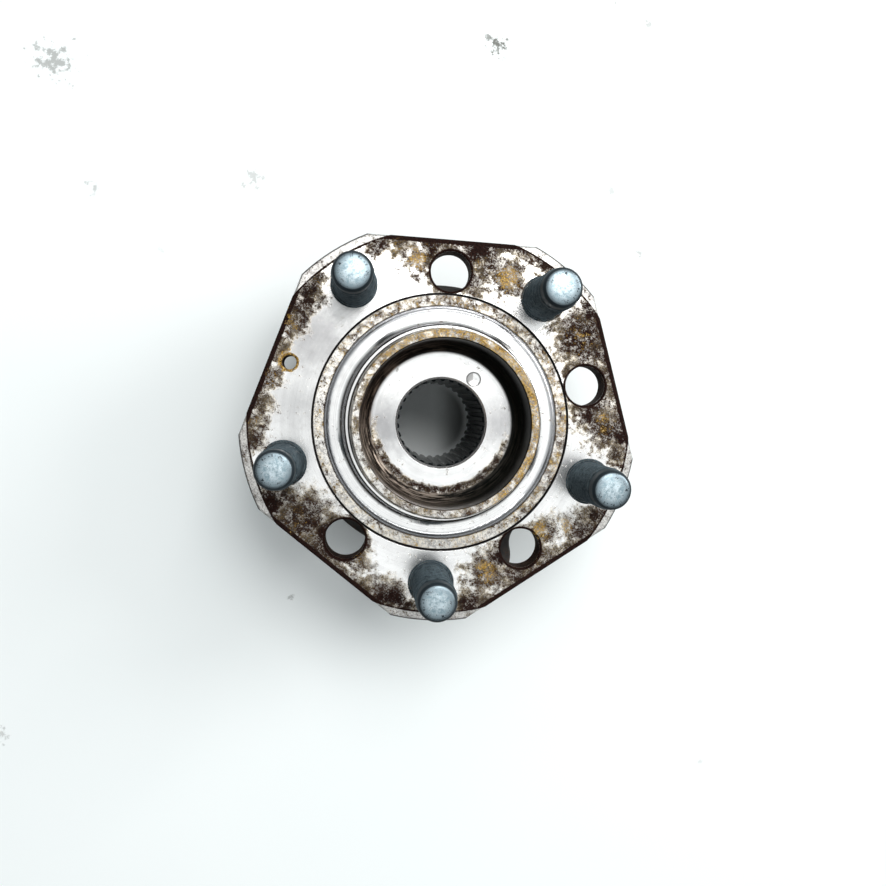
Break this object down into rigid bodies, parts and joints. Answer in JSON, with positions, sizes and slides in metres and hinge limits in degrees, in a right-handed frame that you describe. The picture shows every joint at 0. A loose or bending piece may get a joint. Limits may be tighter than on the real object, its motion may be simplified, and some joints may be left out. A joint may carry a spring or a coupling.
{
  "type": "driven wheel hub bearing unit",
  "caption": "Driven wheel hub: a studded flange with pilots and a splined bore turns on two rows of caged balls in an eared outer ring that bolts to the knuckle.",
  "frame": {"origin": "on the spin axis, in the face that the brake disc bolts to", "axes": "+Z along the spin axis away from the car; one wheel stud on +Y; X and Y along the sides of the rectangle of the four knuckle bolts, X along the longer side"},
  "size_m": [0.1412, 0.1355, 0.095],
  "materials": {
    "hub_steel": "turned steel with patches of brown rust",
    "outer_ring_steel": "turned and forged steel with light rust",
    "stud_plating": "dark zinc coating",
    "bearing_steel": "ground and polished",
    "cage_nylon": "moulded glass-filled nylon",
    "seal_sheet": "pressed stainless sheet",
    "seal_rubber": "moulded nitrile rubber",
    "magnet_rubber": "magnet-filled rubber"
  },
  "bodies": {
    "bearing_housing": {"outer_ring": "outer_ring_steel", "outboard_seal_case": "seal_sheet", "outboard_seal_lips": "seal_rubber", "inboard_seal_case": "seal_sheet", "inboard_seal_lips": "seal_rubber"},
    "hub": {"hub_spindle": "hub_steel", "wheel_stud_1": "stud_plating", "wheel_stud_2": "stud_plating", "wheel_stud_3": "stud_plating", "wheel_stud_4": "stud_plating", "wheel_stud_5": "stud_plating", "inner_ring": "bearing_steel", "outboard_wear_ring": "seal_sheet", "inboard_slinger": "seal_sheet", "encoder_ring": "magnet_rubber"},
    "outboard_cage": {"cage_outboard": "cage_nylon"},
    "inboard_cage": {"cage_inboard": "cage_nylon"},
    "outboard_ball_01": {"ball_outboard_01": "bearing_steel"},
    "outboard_ball_02": {"ball_outboard_02": "bearing_steel"},
    "outboard_ball_03": {"ball_outboard_03": "bearing_steel"},
    "outboard_ball_04": {"ball_outboard_04": "bearing_steel"},
    "outboard_ball_05": {"ball_outboard_05": "bearing_steel"},
    "outboard_ball_06": {"ball_outboard_06": "bearing_steel"},
    "outboard_ball_07": {"ball_outboard_07": "bearing_steel"},
    "outboard_ball_08": {"ball_outboard_08": "bearing_steel"},
    "outboard_ball_09": {"ball_outboard_09": "bearing_steel"},
    "outboard_ball_10": {"ball_outboard_10": "bearing_steel"},
    "outboard_ball_11": {"ball_outboard_11": "bearing_steel"},
    "outboard_ball_12": {"ball_outboard_12": "bearing_steel"},
    "outboard_ball_13": {"ball_outboard_13": "bearing_steel"},
    "outboard_ball_14": {"ball_outboard_14": "bearing_steel"},
    "inboard_ball_01": {"ball_inboard_01": "bearing_steel"},
    "inboard_ball_02": {"ball_inboard_02": "bearing_steel"},
    "inboard_ball_03": {"ball_inboard_03": "bearing_steel"},
    "inboard_ball_04": {"ball_inboard_04": "bearing_steel"},
    "inboard_ball_05": {"ball_inboard_05": "bearing_steel"},
    "inboard_ball_06": {"ball_inboard_06": "bearing_steel"},
    "inboard_ball_07": {"ball_inboard_07": "bearing_steel"},
    "inboard_ball_08": {"ball_inboard_08": "bearing_steel"},
    "inboard_ball_09": {"ball_inboard_09": "bearing_steel"},
    "inboard_ball_10": {"ball_inboard_10": "bearing_steel"},
    "inboard_ball_11": {"ball_inboard_11": "bearing_steel"},
    "inboard_ball_12": {"ball_inboard_12": "bearing_steel"},
    "inboard_ball_13": {"ball_inboard_13": "bearing_steel"},
    "inboard_ball_14": {"ball_inboard_14": "bearing_steel"}
  },
  "joints": [
    {"name": "hub_spin", "type": "hinge", "parent": "bearing_housing", "child": "hub", "pos_m": [0, 0, 0], "axis": [0, 0, 1], "continuous": true},
    {"name": "outboard_cage_spin", "type": "hinge", "parent": "bearing_housing", "child": "outboard_cage", "pos_m": [0, 0, -0.025], "axis": [0, 0, 1], "continuous": true},
    {"name": "outboard_ball_01_spin", "type": "hinge", "parent": "outboard_cage", "child": "outboard_ball_01", "pos_m": [0.03252, 0, -0.025], "axis": [0.6157, 0, 0.788], "continuous": true},
    {"name": "outboard_ball_02_spin", "type": "hinge", "parent": "outboard_cage", "child": "outboard_ball_02", "pos_m": [0.0293, 0.01411, -0.025], "axis": [0.5547, 0.2671, 0.788], "continuous": true},
    {"name": "outboard_ball_03_spin", "type": "hinge", "parent": "outboard_cage", "child": "outboard_ball_03", "pos_m": [0.02027, 0.02542, -0.025], "axis": [0.3839, 0.4813, 0.788], "continuous": true},
    {"name": "outboard_ball_04_spin", "type": "hinge", "parent": "outboard_cage", "child": "outboard_ball_04", "pos_m": [0.00724, 0.0317, -0.025], "axis": [0.137, 0.6002, 0.788], "continuous": true},
    {"name": "outboard_ball_05_spin", "type": "hinge", "parent": "outboard_cage", "child": "outboard_ball_05", "pos_m": [-0.00724, 0.0317, -0.025], "axis": [-0.137, 0.6002, 0.788], "continuous": true},
    {"name": "outboard_ball_06_spin", "type": "hinge", "parent": "outboard_cage", "child": "outboard_ball_06", "pos_m": [-0.02027, 0.02542, -0.025], "axis": [-0.3839, 0.4813, 0.788], "continuous": true},
    {"name": "outboard_ball_07_spin", "type": "hinge", "parent": "outboard_cage", "child": "outboard_ball_07", "pos_m": [-0.0293, 0.01411, -0.025], "axis": [-0.5547, 0.2671, 0.788], "continuous": true},
    {"name": "outboard_ball_08_spin", "type": "hinge", "parent": "outboard_cage", "child": "outboard_ball_08", "pos_m": [-0.03252, 0, -0.025], "axis": [-0.6157, 0, 0.788], "continuous": true},
    {"name": "outboard_ball_09_spin", "type": "hinge", "parent": "outboard_cage", "child": "outboard_ball_09", "pos_m": [-0.0293, -0.01411, -0.025], "axis": [-0.5547, -0.2671, 0.788], "continuous": true},
    {"name": "outboard_ball_10_spin", "type": "hinge", "parent": "outboard_cage", "child": "outboard_ball_10", "pos_m": [-0.02027, -0.02542, -0.025], "axis": [-0.3839, -0.4813, 0.788], "continuous": true},
    {"name": "outboard_ball_11_spin", "type": "hinge", "parent": "outboard_cage", "child": "outboard_ball_11", "pos_m": [-0.00724, -0.0317, -0.025], "axis": [-0.137, -0.6002, 0.788], "continuous": true},
    {"name": "outboard_ball_12_spin", "type": "hinge", "parent": "outboard_cage", "child": "outboard_ball_12", "pos_m": [0.00724, -0.0317, -0.025], "axis": [0.137, -0.6002, 0.788], "continuous": true},
    {"name": "outboard_ball_13_spin", "type": "hinge", "parent": "outboard_cage", "child": "outboard_ball_13", "pos_m": [0.02027, -0.02542, -0.025], "axis": [0.3839, -0.4813, 0.788], "continuous": true},
    {"name": "outboard_ball_14_spin", "type": "hinge", "parent": "outboard_cage", "child": "outboard_ball_14", "pos_m": [0.0293, -0.01411, -0.025], "axis": [0.5547, -0.2671, 0.788], "continuous": true},
    {"name": "inboard_cage_spin", "type": "hinge", "parent": "bearing_housing", "child": "inboard_cage", "pos_m": [0, 0, -0.045], "axis": [0, 0, 1], "continuous": true},
    {"name": "inboard_ball_01_spin", "type": "hinge", "parent": "inboard_cage", "child": "inboard_ball_01", "pos_m": [0.03252, 0, -0.045], "axis": [-0.6157, 0, 0.788], "continuous": true},
    {"name": "inboard_ball_02_spin", "type": "hinge", "parent": "inboard_cage", "child": "inboard_ball_02", "pos_m": [0.0293, 0.01411, -0.045], "axis": [-0.5547, -0.2671, 0.788], "continuous": true},
    {"name": "inboard_ball_03_spin", "type": "hinge", "parent": "inboard_cage", "child": "inboard_ball_03", "pos_m": [0.02027, 0.02542, -0.045], "axis": [-0.3839, -0.4813, 0.788], "continuous": true},
    {"name": "inboard_ball_04_spin", "type": "hinge", "parent": "inboard_cage", "child": "inboard_ball_04", "pos_m": [0.00724, 0.0317, -0.045], "axis": [-0.137, -0.6002, 0.788], "continuous": true},
    {"name": "inboard_ball_05_spin", "type": "hinge", "parent": "inboard_cage", "child": "inboard_ball_05", "pos_m": [-0.00724, 0.0317, -0.045], "axis": [0.137, -0.6002, 0.788], "continuous": true},
    {"name": "inboard_ball_06_spin", "type": "hinge", "parent": "inboard_cage", "child": "inboard_ball_06", "pos_m": [-0.02027, 0.02542, -0.045], "axis": [0.3839, -0.4813, 0.788], "continuous": true},
    {"name": "inboard_ball_07_spin", "type": "hinge", "parent": "inboard_cage", "child": "inboard_ball_07", "pos_m": [-0.0293, 0.01411, -0.045], "axis": [0.5547, -0.2671, 0.788], "continuous": true},
    {"name": "inboard_ball_08_spin", "type": "hinge", "parent": "inboard_cage", "child": "inboard_ball_08", "pos_m": [-0.03252, 0, -0.045], "axis": [0.6157, 0, 0.788], "continuous": true},
    {"name": "inboard_ball_09_spin", "type": "hinge", "parent": "inboard_cage", "child": "inboard_ball_09", "pos_m": [-0.0293, -0.01411, -0.045], "axis": [0.5547, 0.2671, 0.788], "continuous": true},
    {"name": "inboard_ball_10_spin", "type": "hinge", "parent": "inboard_cage", "child": "inboard_ball_10", "pos_m": [-0.02027, -0.02542, -0.045], "axis": [0.3839, 0.4813, 0.788], "continuous": true},
    {"name": "inboard_ball_11_spin", "type": "hinge", "parent": "inboard_cage", "child": "inboard_ball_11", "pos_m": [-0.00724, -0.0317, -0.045], "axis": [0.137, 0.6002, 0.788], "continuous": true},
    {"name": "inboard_ball_12_spin", "type": "hinge", "parent": "inboard_cage", "child": "inboard_ball_12", "pos_m": [0.00724, -0.0317, -0.045], "axis": [-0.137, 0.6002, 0.788], "continuous": true},
    {"name": "inboard_ball_13_spin", "type": "hinge", "parent": "inboard_cage", "child": "inboard_ball_13", "pos_m": [0.02027, -0.02542, -0.045], "axis": [-0.3839, 0.4813, 0.788], "continuous": true},
    {"name": "inboard_ball_14_spin", "type": "hinge", "parent": "inboard_cage", "child": "inboard_ball_14", "pos_m": [0.0293, -0.01411, -0.045], "axis": [-0.5547, 0.2671, 0.788], "continuous": true}
  ],
  "couplings": [
    {"joint": "outboard_cage_spin", "follows": "hub_spin", "ratio": 0.42306},
    {"joint": "outboard_ball_01_spin", "follows": "hub_spin", "ratio": -2.4998},
    {"joint": "outboard_ball_02_spin", "follows": "hub_spin", "ratio": -2.4998},
    {"joint": "outboard_ball_03_spin", "follows": "hub_spin", "ratio": -2.4998},
    {"joint": "outboard_ball_04_spin", "follows": "hub_spin", "ratio": -2.4998},
    {"joint": "outboard_ball_05_spin", "follows": "hub_spin", "ratio": -2.4998},
    {"joint": "outboard_ball_06_spin", "follows": "hub_spin", "ratio": -2.4998},
    {"joint": "outboard_ball_07_spin", "follows": "hub_spin", "ratio": -2.4998},
    {"joint": "outboard_ball_08_spin", "follows": "hub_spin", "ratio": -2.4998},
    {"joint": "outboard_ball_09_spin", "follows": "hub_spin", "ratio": -2.4998},
    {"joint": "outboard_ball_10_spin", "follows": "hub_spin", "ratio": -2.4998},
    {"joint": "outboard_ball_11_spin", "follows": "hub_spin", "ratio": -2.4998},
    {"joint": "outboard_ball_12_spin", "follows": "hub_spin", "ratio": -2.4998},
    {"joint": "outboard_ball_13_spin", "follows": "hub_spin", "ratio": -2.4998},
    {"joint": "outboard_ball_14_spin", "follows": "hub_spin", "ratio": -2.4998},
    {"joint": "inboard_cage_spin", "follows": "hub_spin", "ratio": 0.42306},
    {"joint": "inboard_ball_01_spin", "follows": "hub_spin", "ratio": -2.4998},
    {"joint": "inboard_ball_02_spin", "follows": "hub_spin", "ratio": -2.4998},
    {"joint": "inboard_ball_03_spin", "follows": "hub_spin", "ratio": -2.4998},
    {"joint": "inboard_ball_04_spin", "follows": "hub_spin", "ratio": -2.4998},
    {"joint": "inboard_ball_05_spin", "follows": "hub_spin", "ratio": -2.4998},
    {"joint": "inboard_ball_06_spin", "follows": "hub_spin", "ratio": -2.4998},
    {"joint": "inboard_ball_07_spin", "follows": "hub_spin", "ratio": -2.4998},
    {"joint": "inboard_ball_08_spin", "follows": "hub_spin", "ratio": -2.4998},
    {"joint": "inboard_ball_09_spin", "follows": "hub_spin", "ratio": -2.4998},
    {"joint": "inboard_ball_10_spin", "follows": "hub_spin", "ratio": -2.4998},
    {"joint": "inboard_ball_11_spin", "follows": "hub_spin", "ratio": -2.4998},
    {"joint": "inboard_ball_12_spin", "follows": "hub_spin", "ratio": -2.4998},
    {"joint": "inboard_ball_13_spin", "follows": "hub_spin", "ratio": -2.4998},
    {"joint": "inboard_ball_14_spin", "follows": "hub_spin", "ratio": -2.4998}
  ]
}
